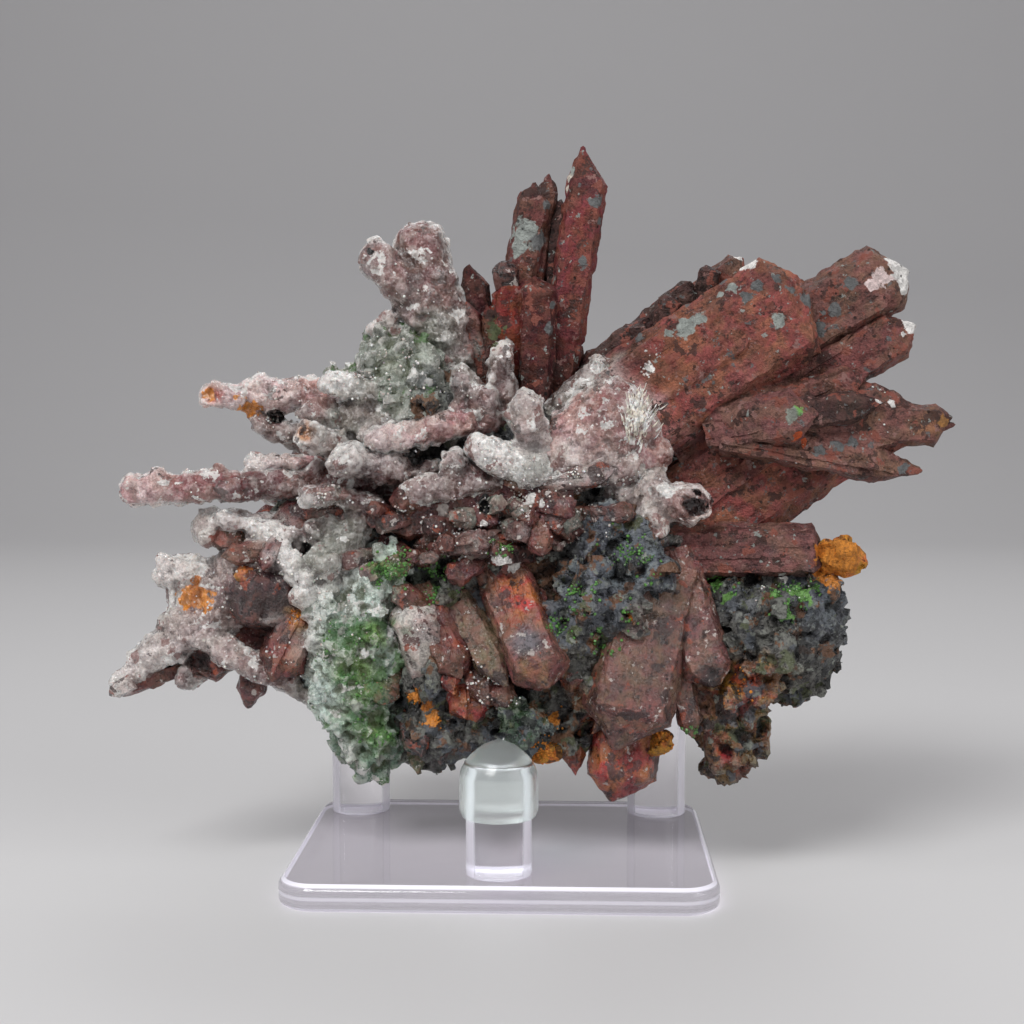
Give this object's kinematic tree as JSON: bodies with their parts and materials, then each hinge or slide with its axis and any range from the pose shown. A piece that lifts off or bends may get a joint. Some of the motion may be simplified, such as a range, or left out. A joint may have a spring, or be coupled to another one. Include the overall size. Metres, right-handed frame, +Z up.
{
  "type": "quartz crystal cluster on a display stand",
  "caption": "Radiating red-brown quartz cluster with coated finger crystals, green crust and dark matrix, resting on the pegs of a clear acrylic stand.",
  "frame": {"origin": "centre of the plate's underside", "axes": "+Z up, +X to the right seen from the front, +Y towards the back"},
  "size_m": [0.1614, 0.083, 0.1399],
  "materials": {
    "quartz": "matte red-brown crystals, pale coated fingers, green crust and dark rock",
    "clear_acrylic": "clear, polished",
    "cloudy_silicone": "cloudy, satin"
  },
  "bodies": {
    "root": {"quartz_cluster": "quartz", "base_plate": "clear_acrylic", "front_peg": "clear_acrylic", "rear_left_peg": "clear_acrylic", "rear_right_peg": "clear_acrylic", "front_cap": "cloudy_silicone", "rear_left_cap": "cloudy_silicone", "rear_right_cap": "cloudy_silicone"}
  },
  "joints": []
}
